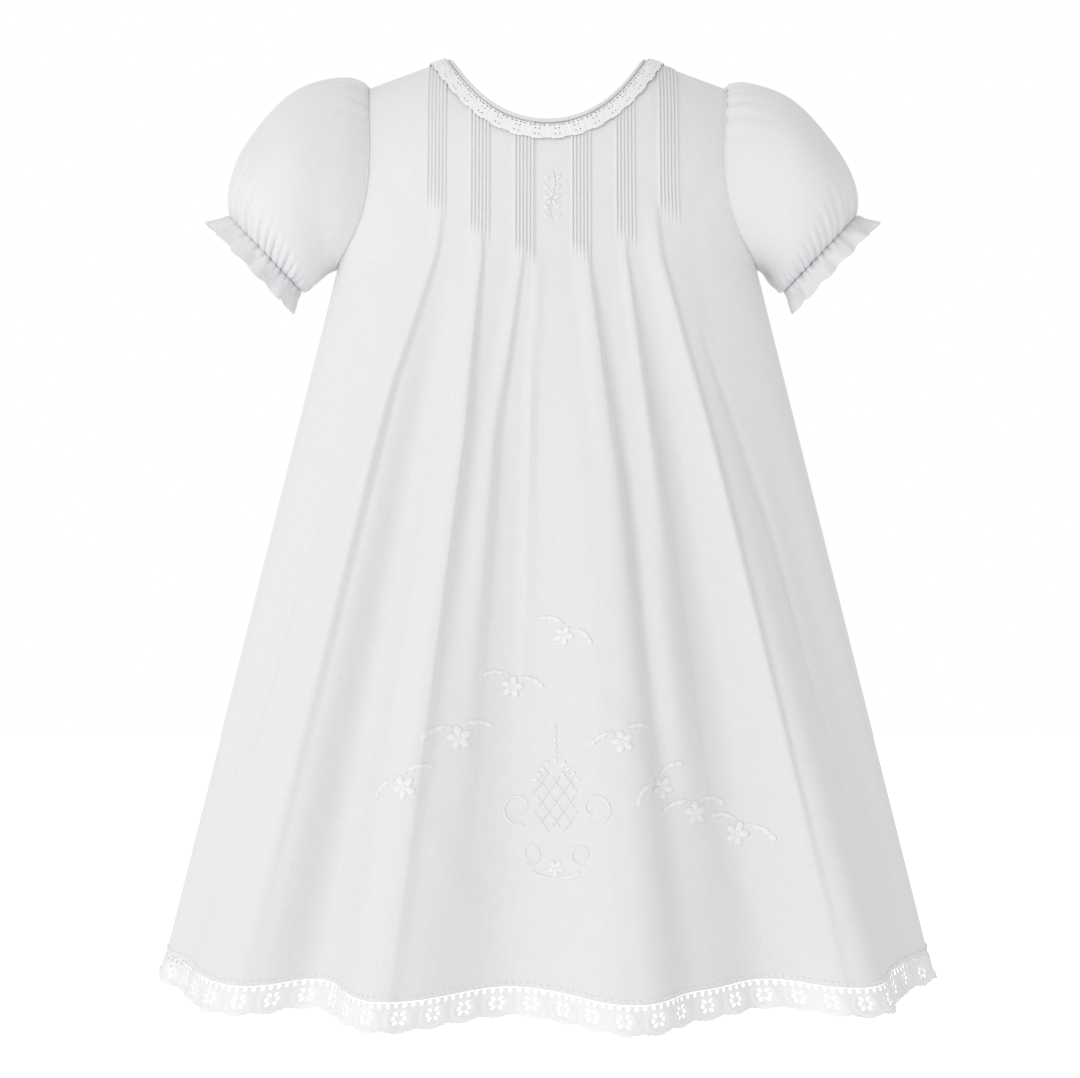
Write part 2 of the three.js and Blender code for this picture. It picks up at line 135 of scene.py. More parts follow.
@dataclass(frozen=True)
class ClothFinish:
    """Woven white cotton, coloured alike all over, with its threads and creases as bump.

    The real threads are about 0.25 mm apart, finer than a picture shows, so the slubs that stand for
    them are drawn 1 mm wide and 12 mm long.
    """

    name: str
    colour: str
    roughness: float = 0.92
    sheen: float = 0.25
    thread_mm: float = 1.0
    slub_mm: float = 12.0
    thread_height_mm: float = 0.05
    crumple_mm: float = 26.0
    crumple_height_mm: float = 0.5

    def build(self) -> bpy.types.Material:
        """Returns the material. It reads the piece's UV map, which is in metres of flat cloth."""
        material = bpy.data.materials.new(self.name)
        material.use_nodes = True
        tree = material.node_tree
        tree.nodes.clear()
        uv = add_node(tree, "ShaderNodeUVMap", {"uv_map": "flat"}).outputs["UV"]
        across, along = 1 / (self.thread_mm * MM), 1 / (self.slub_mm * MM)
        heights = []
        for scale in ((across, along, 1), (along, across, 1)):
            mapped = add_node(tree, "ShaderNodeMapping", None, Vector=uv, Scale=scale)
            noise = add_node(tree, "ShaderNodeTexNoise", None, Vector=mapped.outputs[0], Scale=1.0, Detail=1.0)
            heights.append(noise.outputs[0])
        threads = add_node(tree, "ShaderNodeMath", {"operation": "ADD"})
        tree.links.new(heights[0], threads.inputs[0])
        tree.links.new(heights[1], threads.inputs[1])
        crumple = add_node(
            tree, "ShaderNodeTexNoise", None, Vector=uv, Scale=1 / (self.crumple_mm * MM), Detail=3.0, Roughness=0.55
        )
        soft = add_node(
            tree, "ShaderNodeBump", None, Height=crumple.outputs[0], Distance=self.crumple_height_mm * MM, Strength=1.0
        )
        weave = add_node(
            tree, "ShaderNodeBump", None, Height=threads.outputs[0], Distance=self.thread_height_mm * MM,
            Normal=soft.outputs[0], Strength=1.0,
        )
        shade = add_node(tree, "ShaderNodeMapRange", None, Value=threads.outputs[0], To_Min=0.0, To_Max=1.0)
        shade.inputs["From Min"].default_value = 0.7
        shade.inputs["From Max"].default_value = 1.3
        colour = add_node(tree, "ShaderNodeMix", {"data_type": "RGBA"}, Factor=shade.outputs[0])
        white = linear(self.colour)
        colour.inputs[6].default_value = [c * 0.97 for c in white[:3]] + [1]
        colour.inputs[7].default_value = white
        shader = add_node(
            tree, "ShaderNodeBsdfPrincipled", None, Base_Color=colour.outputs[2], Roughness=self.roughness,
            Normal=weave.outputs[0],
        )
        shader.inputs["Specular IOR Level"].default_value = 0.2
        shader.inputs["Sheen Weight"].default_value = self.sheen
        shader.inputs["Sheen Roughness"].default_value = 0.5
        add_node(tree, "ShaderNodeOutputMaterial", None, Surface=shader.outputs[0])
        return material


@dataclass(frozen=True)
class ThreadFinish:
    """Twisted cotton thread, as in satin stitch and lace: whiter than cloth, with a low gloss."""

    name: str
    colour: str
    roughness: float = 0.6
    stitch_mm: float = 0.8
    stitch_height_mm: float = 0.12

    def build(self) -> bpy.types.Material:
        """Returns the material, with stitches as bands across the piece, a little wider than real."""
        material = bpy.data.materials.new(self.name)
        material.use_nodes = True
        tree = material.node_tree
        tree.nodes.clear()
        where = add_node(tree, "ShaderNodeTexCoord").outputs["Object"]
        bands = add_node(
            tree, "ShaderNodeTexWave", {"bands_direction": "DIAGONAL"}, Vector=where,
            Scale=2 * pi / (10 * 3**0.5 * self.stitch_mm * MM), Distortion=2.0,
        )
        bump = add_node(
            tree, "ShaderNodeBump", None, Height=bands.outputs[1], Distance=self.stitch_height_mm * MM, Strength=0.6
        )
        shader = add_node(
            tree, "ShaderNodeBsdfPrincipled", None, Base_Color=linear(self.colour), Roughness=self.roughness,
            Normal=bump.outputs[0],
        )
        shader.inputs["Specular IOR Level"].default_value = 0.3
        shader.inputs["Sheen Weight"].default_value = 0.15
        add_node(tree, "ShaderNodeOutputMaterial", None, Surface=shader.outputs[0])
        return material


@dataclass(frozen=True)
class PearlFinish:
    """Polished mother-of-pearl: a clear gloss over clouds of two near whites."""

    name: str
    light: str
    dark: str
    cloud_mm: float = 4.0

    def build(self) -> bpy.types.Material:
        """Returns the material."""
        material = bpy.data.materials.new(self.name)
        material.use_nodes = True
        tree = material.node_tree
        tree.nodes.clear()
        where = add_node(tree, "ShaderNodeTexCoord").outputs["Object"]
        cloud = add_node(tree, "ShaderNodeTexNoise", None, Vector=where, Scale=1 / (self.cloud_mm * MM), Detail=2.0)
        colour = add_node(tree, "ShaderNodeMix", {"data_type": "RGBA"}, Factor=cloud.outputs[0])
        colour.inputs[6].default_value = linear(self.light)
        colour.inputs[7].default_value = linear(self.dark)
        shader = add_node(
            tree, "ShaderNodeBsdfPrincipled", None, Base_Color=colour.outputs[2], Roughness=0.22, Coat_Weight=0.5
        )
        add_node(tree, "ShaderNodeOutputMaterial", None, Surface=shader.outputs[0])
        return material


BATISTE = ClothFinish("cotton_batiste_plain_weave", "#e4e4e6")
LACE_THREAD = ThreadFinish("cotton_lace_bleached", "#efeff0")
FLOSS = ThreadFinish("white_floss_satin_stitch", "#ececee")
PEARL = PearlFinish("shell_button_polished", "#f2f0ea", "#dcd9d2")


# ---------------------------------------------------------------- the gown's form


@dataclass(frozen=True)
class Fold:
    """A fold of the cloth, from the drop where it starts to the drop where it has gone.

    centre and hem place its crest across the cloth, from -1 at one side seam to 1 at the other.
    height is in millimetres, negative in a valley. left and right are the reach of its flanks.
    """

    centre: float
    hem: float
    height: float
    left: float
    right: float
    start: float = 100
    full: float = 480
    end: float = 900
    rise: float = 0.85


@dataclass(frozen=True)
class Pleat(Fold):
    """A narrow fold, sharper than the large ones, that stands up soon after the tucks open."""

    rise: float = 0.45


@dataclass(frozen=True)
class Crease:
    """A soft line in the cloth between two places of the front view, in mm. Raised where height is over 0."""

    x0: float
    z0: float
    x1: float
    z1: float
    height: float
    width: float


FRONT_FOLDS = [
    Fold(-0.74, -0.78, -4, 0.14, 0.14, 130, 470),
    Fold(-0.49, -0.52, 12, 0.22, 0.12, 90),
    Fold(-0.38, -0.375, -11, 0.09, 0.10, 120),
    Fold(-0.27, -0.235, 17, 0.11, 0.18, 105),
    Fold(-0.02, -0.03, -11, 0.16, 0.13, 190),
    Fold(0.09, 0.115, 18, 0.17, 0.105, 112),
    Fold(0.275, 0.24, 7, 0.07, 0.06, 108, 300, 440),
    Fold(0.36, 0.34, -13, 0.14, 0.13, 120),
    Fold(0.488, 0.53, 16, 0.15, 0.14, 92),
    Fold(0.74, 0.77, -5, 0.14, 0.14, 130, 470),
]
BACK_FOLDS = [
    Fold(-0.62, -0.66, 11, 0.18, 0.16, 70),
    Fold(-0.40, -0.42, -9, 0.13, 0.13, 110),
    Fold(-0.20, -0.20, 13, 0.15, 0.14, 60),
    Fold(0.02, 0.02, -8, 0.14, 0.14, 200),
    Fold(0.23, 0.24, 13, 0.15, 0.16, 60),
    Fold(0.44, 0.46, -9, 0.13, 0.13, 110),
    Fold(0.64, 0.69, 10, 0.16, 0.16, 70),
]
FRONT_PLEATS = [
    Pleat(-0.435, -0.50, 4.0, 0.060, 0.024, 84, 180, 560),
    Pleat(-0.250, -0.215, 5.0, 0.070, 0.022, 96, 200, 760),
    Pleat(-0.075, -0.130, 4.0, 0.050, 0.020, 104, 200, 480),
    Pleat(-0.020, -0.035, 2.4, 0.024, 0.018, 108, 180, 420),
    Pleat(0.130, 0.165, 5.2, 0.070, 0.020, 104, 220, 760),
    Pleat(0.300, 0.285, 3.6, 0.045, 0.022, 100, 190, 460),
    Pleat(0.450, 0.470, 4.8, 0.080, 0.024, 84, 200, 620),
    Pleat(0.560, 0.640, -2.2, 0.035, 0.030, 150, 260, 430),
    Pleat(-0.620, -0.700, -1.6, 0.040, 0.040, 160, 300, 470),
]
FRONT_CREASES = [
    Crease(-152, -352, -178, -440, 2.2, 7),
    Crease(-120, -300, -150, -390, -0.9, 6),
    Crease(-86, -205, -108, -255, 0.8, 5),
    Crease(120, -215, 150, -330, -1.0, 7),
    Crease(158, -380, 192, -470, 1.6, 6),
    Crease(-30, -128, 6, -131, 0.7, 4),
    Crease(-52, -84, -42, -86, -0.6, 3),
    Crease(-30, -96, -20, -94, 0.5, 3),
    Crease(24, -88, 34, -91, 0.5, 3),
    Crease(48, -70, 58, -74, -0.5, 3),
    Crease(-88, -60, -70, -90, -0.9, 5),
    Crease(76, -88, 92, -60, -0.9, 5),
    Crease(30, -330, 62, -372, -0.8, 6),
    Crease(-60, -400, -36, -452, 0.9, 7),
    Crease(96, -420, 120, -468, -0.9, 7),
]
BACK_CREASES = [
    Crease(40, -130, 66, -190, 0.9, 6),
    Crease(-44, -150, -58, -230, -1.0, 7),
    Crease(120, -330, 150, -430, 1.5, 8),
    Crease(-130, -320, -160, -440, 1.6, 8),
    Crease(20, -260, 34, -330, -0.8, 6),
    Crease(-12, -300, -20, -400, 0.9, 8),
]


@dataclass(frozen=True)
class GownForm:
    """The gown's shape, as a general figure fills it, and the threads of its cloth.

    u runs across a panel from -1 to 1, v from 0 at its top edge through 1 at the underarm to 2 at the hem.
    """

    neck_half: float = 54.5
    neck_drop: dict = field(default_factory=lambda: {-1: 42.5, 1: 27.0})
    shoulder_half: float = 96
    shoulder_drop: float = 15
    underarm_half: float = 113
    underarm_drop: float = 112
    hem_half: float = 205
    hem_drop: float = 479
    hem_dip: float = 8
    chest_line: float = 50
    chest_depth: dict = field(default_factory=lambda: {-1: 50.0, 1: 46.0})
    hem_depth: dict = field(default_factory=lambda: {-1: 90.0, 1: 84.0})
    shoulder_round: float = 60
    chest_roundness: float = 2.4
    hem_roundness: float = 2.2
    hem_follows_fold: float = 0.25
    seam_sink: float = 1.2
    seam_reach: float = 0.012

    def flare(self, z: Array) -> Array:
        """Returns 0 at and above the underarm and 1 at the hem."""
        return np.maximum(0, (-self.underarm_drop - z) / (self.hem_drop - self.underarm_drop))

    def half_width(self, z: Array) -> Array:
        """Returns the half width of the body at a height."""
        return lerp(self.underarm_half, self.hem_half, self.flare(z))

    def depth(self, side: Array, z: Array) -> Array:
        """Returns the half depth of the body on a side at a height."""
        down = np.maximum(0, (-self.chest_line - z) / (self.hem_drop - self.chest_line))
        chest = np.where(side < 0, self.chest_depth[-1], self.chest_depth[1])
        hem = np.where(side < 0, self.hem_depth[-1], self.hem_depth[1])
        return lerp(chest, hem, down**1.25)

    def armhole_x(self, z: Array) -> Array:
        """Returns the half width of the panels along the armhole seam."""
        down = np.clip((-self.shoulder_drop - z) / (self.underarm_drop - self.shoulder_drop), 0, 1)
        hollow = 2.7 * np.sin(pi * down)
        return self.shoulder_half - hollow + (self.underarm_half - self.shoulder_half) * down**5

    def shoulder_z(self, x: Array) -> Array:
        """Returns the height of the shoulder seam, level inside the neck."""
        beyond = np.maximum(0, np.abs(x) - self.neck_half)
        return -self.shoulder_drop * beyond / (self.shoulder_half - self.neck_half)

    @staticmethod
    def neck_dip(across: Array) -> Array:
        """Returns 1 where the neck is lowest and 0 at the shoulder seam."""
        return np.maximum(0, 1 - across**2) * (1 + 0.3 * across**2)

    def form_point(self, side: Array, x: Array, z: Array) -> Array:
        """Returns where the form lies at a place of the front view, on a side."""
        power = lerp(self.chest_roundness, self.hem_roundness, np.minimum(1, self.flare(z)))
        share = np.minimum(1, np.abs(x) / self.half_width(z))
        section = np.maximum(0, 1 - share**power) ** (1 / power)
        turned = 1 - np.clip((self.shoulder_z(x) - z) / self.shoulder_round, 0, 1)
        y = side * self.depth(side, z) * section * np.sqrt(1 - turned**2)
        return np.stack([x, y, z], axis=-1)

    def thread_x(self, u: Array, z: Array) -> Array:
        """Returns how far out a thread lies at a height: straight down the yoke, fanning below."""
        a = np.abs(u)
        drawn = self.underarm_half * np.sin(pi / 2 * a * (0.62 + 0.38 * a**3)) ** (2 / self.chest_roundness)
        spread = self.hem_half * np.sin(pi / 2 * a) ** (2 / self.hem_roundness)
        narrowing = (1 - self.armhole_x(z) / self.underarm_half) * a**2.2
        flare = self.flare(z)
        return np.sign(u) * np.where(flare > 0, lerp(drawn, spread, flare), drawn * (1 - narrowing))

    def thread_at(self, x: Array, z: Array) -> Array:
        """Returns the thread that passes a place at a height."""
        x, z = np.broadcast_arrays(np.asarray(x, float), np.asarray(z, float))
        low, high = np.zeros_like(x), np.ones_like(x)
        for _ in range(26):
            middle = (low + high) / 2
            is_short = self.thread_x(middle, z) < np.abs(x)
            low, high = np.where(is_short, middle, low), np.where(is_short, high, middle)
        return np.sign(x) * low

    def top_z(self, side: Array, u: Array) -> Array:
        """Returns the height of a panel's top edge, at the neck and along the shoulder."""
        x = np.abs(self.thread_x(u, np.full_like(u, -self.shoulder_drop)))
        drop = np.where(side < 0, self.neck_drop[-1], self.neck_drop[1])
        return np.where(x < self.neck_half, -drop * self.neck_dip(x / self.neck_half), self.shoulder_z(x))

    def fold_height(self, folds: list[Fold], u: Array, z: Array) -> Array:
        """Returns how far the folds lift the cloth at a place."""
        height = np.zeros(np.broadcast(u, z).shape)
        for fold in folds:
            down = np.maximum(0, (-z - fold.start) / (fold.full - fold.start))
            away = u - lerp(fold.centre, fold.hem, np.minimum(1, down))
            across = np.minimum(1, np.abs(away) / np.where(away < 0, fold.left, fold.right))
            ending = smooth((-z - fold.full) / (fold.end - fold.full))
            crest = (1 + np.cos(pi * across)) / 2
            height += fold.height * np.minimum(1.1, down**fold.rise) * crest * (1 - ending)
        return height

    def crease_height(self, creases: list[Crease], x: Array, z: Array) -> Array:
        """Returns how far the creases lift the cloth at a place of the front view."""
        height = np.zeros(np.broadcast(x, z).shape)
        for c in creases:
            dx, dz = c.x1 - c.x0, c.z1 - c.z0
            along = np.clip(((x - c.x0) * dx + (z - c.z0) * dz) / (dx * dx + dz * dz), 0, 1)
            away = np.hypot(x - c.x0 - along * dx, z - c.z0 - along * dz)
            height += c.height * np.exp(-((away / c.width) ** 2)) * (0.35 + 0.65 * np.sin(pi * along))
        return height

    def folds_of(self, side: int) -> list[Fold]:
        """Returns the large folds of a side."""
        return FRONT_FOLDS if side < 0 else BACK_FOLDS

    def hem_z(self, side: int, u: Array) -> Array:
        """Returns the height of the hem, which hangs lower under a fold."""
        fold = self.fold_height(self.folds_of(side), u, np.full_like(u, -self.hem_drop))
        return -self.hem_drop - self.hem_dip * (1 - u**2) - self.hem_follows_fold * fold

    def row_z(self, side: int, u: Array, v: Array) -> Array:
        """Returns the height of a row of the cloth."""
        yoke = lerp(self.top_z(np.float64(side), u), -self.underarm_drop, (1 - np.cos(pi * np.clip(v, 0, 1))) / 2)
        return np.where(v <= 1, yoke, lerp(-self.underarm_drop, self.hem_z(side, u), v - 1))

    def v_at(self, side: int, u: Array, z: Array) -> Array:
        """Returns the row that passes a height, at a thread."""
        top = self.top_z(np.float64(side), u)
        yoke = np.clip((z - top) / (-self.underarm_drop - top), 0, 1)
        skirt = 1 + (z + self.underarm_drop) / (self.hem_z(side, u) + self.underarm_drop)
        return np.where(z > -self.underarm_drop, np.arccos(1 - 2 * yoke) / pi, skirt)

    def plain_point(self, side: int, u: Array, v: Array) -> Array:
        """Returns a point of the cloth before it folds."""
        z = self.row_z(side, u, v)
        return self.form_point(np.float64(side), self.thread_x(u, z), z)

    def cloth_point(self, side: int, u: Array, v: Array, off: Array | float = 0.0) -> Array:
        """Returns a point off the folded cloth.

        Args:
            side: -1 at the front, 1 at the back.
            u: place across the cloth.
            v: place down the cloth.
            off: distance outwards in mm.

        Returns:
            The points, one row each.
        """
        u, v = np.broadcast_arrays(np.asarray(u, float), np.asarray(v, float))
        step = 0.004
        plain = self.plain_point(side, u, v)
        along_u = self.plain_point(side, np.minimum(u + step, 1), v)
        along_u -= self.plain_point(side, np.maximum(u - step, -1), v)
        along_v = self.plain_point(side, u, v + step) - self.plain_point(side, u, np.maximum(v - step, 0))
        out = np.cross(along_u, along_v) * side
        out /= np.maximum(np.linalg.norm(out, axis=-1, keepdims=True), 1e-9)
        height = self.fold_height(self.folds_of(side), u, plain[..., 2])
        small = FRONT_PLEATS if side < 0 else []
        creases = FRONT_CREASES if side < 0 else BACK_CREASES
        height += self.fold_height(small, u, plain[..., 2])
        height += self.crease_height(creases, plain[..., 0], plain[..., 2])
        seam = np.exp(-(((1 - np.abs(u)) / self.seam_reach) ** 2)) * (1 - 0.7 * smooth((v - 0.9) / 0.2))
        return plain + out * (height + off - self.seam_sink * seam)[..., None]


FORM = GownForm()


# ---------------------------------------------------------------- meshes


def sheet_mesh(name: str, us: Array, vs: Array, place: Place, flat: Place, flip: bool) -> bpy.types.Object:
    """Makes a sheet of cloth as a grid whose points a formula places.

    Args:
        name: the piece's name.
        us: the grid's columns.
        vs: its rows.
        place: gives the points in mm for columns and rows.
        flat: gives the flat cloth's two coordinates in mm, for the UV map.
        flip: whether the faces are turned round.

    Returns:
        The object, in metres.
    """
    bm = bmesh.new()
    bmesh.ops.create_grid(bm, x_segments=len(us) - 1, y_segments=len(vs) - 1, size=1.0)
    if flip:
        bmesh.ops.reverse_faces(bm, faces=bm.faces)
    for edge in bm.edges:
        edge.smooth = not edge.is_boundary
    for face in bm.faces:
        face.smooth = True
    mesh = bpy.data.meshes.new(name)
    bm.to_mesh(mesh)
    bm.free()
    co = np.empty(len(mesh.vertices) * 3)
    mesh.vertices.foreach_get("co", co)
    co = co.reshape(-1, 3)
    i = np.rint((co[:, 0] + 1) / 2 * (len(us) - 1)).astype(int)
    j = np.rint((1 - co[:, 1]) / 2 * (len(vs) - 1)).astype(int)
    u, v = np.asarray(us)[i], np.asarray(vs)[j]
    mesh.vertices.foreach_set("co", (place(u, v) * MM).astype(np.float32).ravel())
    layer = mesh.uv_layers.new(name="flat")
    corners = np.empty(len(mesh.loops), dtype=np.int32)
    mesh.loops.foreach_get("vertex_index", corners)
    layer.data.foreach_set("uv", (flat(u, v)[corners] * MM).astype(np.float32).ravel())
    mesh.update()
    piece = bpy.data.objects.new(name, mesh)
    bpy.context.scene.collection.objects.link(piece)
    return piece


def thicken(piece: bpy.types.Object, wall: float) -> None:
    """Gives a sheet its wall, inwards."""
    solid = piece.modifiers.new("wall", "SOLIDIFY")
    solid.thickness = wall * MM
    solid.offset = -1.0
    solid.use_even_offset = False


def dress(piece: bpy.types.Object, material: bpy.types.Material, slot: str, *nodes: str) -> None:
    """Gives a piece its material and its place in the frame.

    Args:
        piece: the object.
        material: its finish.
        slot: the record's slot; not used.
        nodes: the solids that it stands for.
    """
    piece.data.materials.append(material)
    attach(piece, "root")
    if nodes:
        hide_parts(*nodes)
    LOG.info("%s: %d faces", piece.name, len(piece.data.polygons))


def even_threads(side: int, v: float, count: int) -> Array:
    """Returns threads that lie evenly along a row of the cloth.

    Args:
        side: -1 at the front, 1 at the back.
        v: the row.
        count: how many gaps.

    Returns:
        count + 1 values of u.
    """
    fine = np.linspace(-1, 1, 1201)
    points = FORM.cloth_point(side, fine, np.full_like(fine, v))
    run = np.concatenate([[0], np.cumsum(np.linalg.norm(np.diff(points, axis=0), axis=1))])
    return np.interp(np.linspace(0, run[-1], count + 1), run, fine)


# ---------------------------------------------------------------- body


@dataclass
class Tucks:
    """Pintucks: stitched folds in groups, each leaning to one side, that open below their last stitch."""

    centres: tuple[float, ...] = (-58.1, -35.4, -12.4, 17.2, 40.2, 62.9)
    drops: tuple[float, ...] = (91, 106, 117, 117, 108, 95)
    count: int = 6
    pitch: float = 1.85
    height: float = 1.0
    fade: float = 14
    level: float = -60

    def columns(self) -> Array:
        """Returns the threads where the cloth turns, across all groups."""
        marks = [k + f for k in range(self.count) for f in (0, 0.5, 0.7, 0.85)] + [self.count]
        xs = [c + (m - self.count / 2) * self.pitch for c in self.centres for m in marks]
        return FORM.thread_at(np.array(xs), np.full(len(xs), self.level))

    def rise(self, u: Array, z: Array) -> Array:
        """Returns how far the tucks stand out of the cloth."""
        x = FORM.thread_x(u, np.full_like(u, self.level))
        total = np.zeros_like(x)
        for centre, drop in zip(self.centres, self.drops):
            place = (x - centre) / self.pitch + self.count / 2
            inside = (place > 0) & (place < self.count)
            profile = np.interp(place % 1, (0, 0.25, 0.5, 0.7, 0.85, 1), (0, 0.3, 0.75, 1, 0.75, 0))
            lean = drop - self.fade + 1.2 * (place - self.count / 2)
            total += inside * profile * (1 - smooth((-z - lean) / self.fade))
        return self.height * total


@dataclass
class FrontPanel:
    """The front, cut in one from the shoulders to the hem, with its pintucks."""

    wall: float = 0.4
    yoke_rows: int = 44
    skirt_rows: int = 84
    plain_columns: int = 190
    cut: tuple[float, float] = (0.52, 0.50)
    area: float = 0.205
    tucks: Tucks = field(default_factory=Tucks)

    def columns(self) -> Array:
        """Returns the threads of the mesh: the tucks' own, and plain ones clear of them."""
        own = self.tucks.columns()
        neck = FORM.thread_at(np.array([-FORM.neck_half, FORM.neck_half]), np.full(2, -FORM.shoulder_drop))
        plain = np.concatenate([np.linspace(-1, 1, self.plain_columns + 1), neck])
        clear = [u for u in plain if np.min(np.abs(own - u)) > 0.004]
        return np.unique(np.concatenate([own, clear]))

    def place(self, u: Array, v: Array) -> Array:
        """Returns points of the front."""
        z = FORM.row_z(-1, u, v)
        return FORM.cloth_point(-1, u, v, self.tucks.rise(u, z))

    def flat(self, u: Array, v: Array) -> Array:
        """Returns flat coordinates of the front."""
        return np.stack([u * 250, FORM.row_z(-1, u, v)], axis=-1)

    def build(self, cloth: bpy.types.Material) -> None:
        """Builds and dresses the panel."""
        rows = np.concatenate([np.linspace(0, 1, self.yoke_rows + 1), np.linspace(1, 2, self.skirt_rows + 1)[1:]])
        piece = sheet_mesh("front", self.columns(), rows, self.place, self.flat, False)
        thicken(piece, self.wall)
        dress(piece, cloth, "batiste", "front_panel")


@dataclass
class BackHalf:
    """One half of the back, from the middle to the side seam. hand is 1 for the gown's left."""

    hand: int
    wall: float = 0.4
    columns: int = 78
    yoke_rows: int = 40
    skirt_rows: int = 84
    cut: tuple[float, float] = (0.26, 0.50)
    area: float = 0.098

    def place(self, u: Array, v: Array) -> Array:
        """Returns points of the back."""
        return FORM.cloth_point(1, u, v)

    def flat(self, u: Array, v: Array) -> Array:
        """Returns flat coordinates of the back."""
        return np.stack([u * 250 + 1000, FORM.row_z(1, u, v)], axis=-1)

    def build(self, cloth: bpy.types.Material) -> None:
        """Builds and dresses the panel."""
        rows = np.concatenate([np.linspace(0, 1, self.yoke_rows + 1), np.linspace(1, 2, self.skirt_rows + 1)[1:]])
        neck = float(FORM.thread_at(np.array([FORM.neck_half]), np.array([-FORM.shoulder_drop]))[0])
        half = np.unique(np.append(np.linspace(0.0008, 1, self.columns + 1), neck))
        across = half if self.hand > 0 else -half[::-1]
        name = "back_half_left" if self.hand > 0 else "back_half_right"
        piece = sheet_mesh(name, across, rows, self.place, self.flat, True)
        thicken(piece, self.wall)
        dress(piece, cloth, "batiste", "back_left" if self.hand > 0 else "back_right")


@dataclass
class Placket:
    """The strip down the back opening, with a line of stitches along each edge, and the buttons' threads."""

    half: float = 7
    bottom: float = -158
    wall: float = 0.5
    stand: float = 1.1
    buttons: tuple[str, ...] = ("button_1", "button_2", "button_3")

    def build(self, cloth: bpy.types.Material, pearl: bpy.types.Material, floss: bpy.types.Material) -> None:
        """Builds the strip and dresses the buttons."""
        end = float(FORM.v_at(1, np.array([0.0]), np.array([self.bottom]))[0])
        xs = np.linspace(-self.half, self.half, 15)
        us = FORM.thread_at(xs, np.full_like(xs, -60.0))

        def place(u: Array, v: Array) -> Array:
            """Returns points of the strip, whose edges turn down to the cloth."""
            edge = np.abs(u) / np.max(np.abs(us))
            line = 0.35 * np.exp(-(((edge - 0.8) / 0.06) ** 2))
            return FORM.cloth_point(1, u, v, self.stand - line - 0.5 * (edge > 0.97))

        def flat(u: Array, v: Array) -> Array:
            """Returns flat coordinates of the strip."""
            return np.stack([u * 250 + 2000, FORM.row_z(1, u, v)], axis=-1)

        piece = sheet_mesh("placket", us, np.linspace(0, end, 90), place, flat, True)
        thicken(piece, self.wall)
        dress(piece, cloth, "batiste", "back_placket")
        bm = bmesh.new()
        for name in self.buttons:
            for slot in bpy.data.objects[name].material_slots:
                slot.material = pearl
            low, high = (np.array(corner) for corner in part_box(name))
            for turn in (pi / 4, -pi / 4):
                made = bmesh.ops.create_uvsphere(bm, u_segments=8, v_segments=6, radius=MM)["verts"]
                bmesh.ops.scale(bm, verts=made, vec=(1.7, 0.4, 0.4))
                bmesh.ops.rotate(bm, verts=made, cent=(0, 0, 0), matrix=Matrix.Rotation(turn, 3, "Y"))
                bmesh.ops.translate(bm, verts=made, vec=((low[0] + high[0]) / 2, high[1] - 0.3 * MM, (low[2] + high[2]) / 2))
        mesh = bpy.data.meshes.new("button_threads")
        bm.to_mesh(mesh)
        bm.free()
        threads = bpy.data.objects.new("button_threads", mesh)
        bpy.context.scene.collection.objects.link(threads)
        dress(threads, floss, "cotton_lace")


# ---------------------------------------------------------------- sleeves


SLEEVE_COLUMNS = ("top_x", "top_z", "under_x", "under_z", "depth", "oval")
SLEEVE_SECTIONS = np.array([
    [96.0, -15, 113.0, -112, 34, 0],
    [107, -10.5, 116.6, -113, 41, 0.4],
    [124, -12.5, 119.4, -115, 45, 0.75],
    [139, -20.5, 121.8, -117.5, 47, 0.95],
    [154, -35.5, 124.6, -120, 46, 1],
    [165.5, -52, 128, -122, 42, 1],
    [171, -70, 131.5, -123.5, 34, 1],
    [171, -85, 134.5, -123, 26, 1],
])


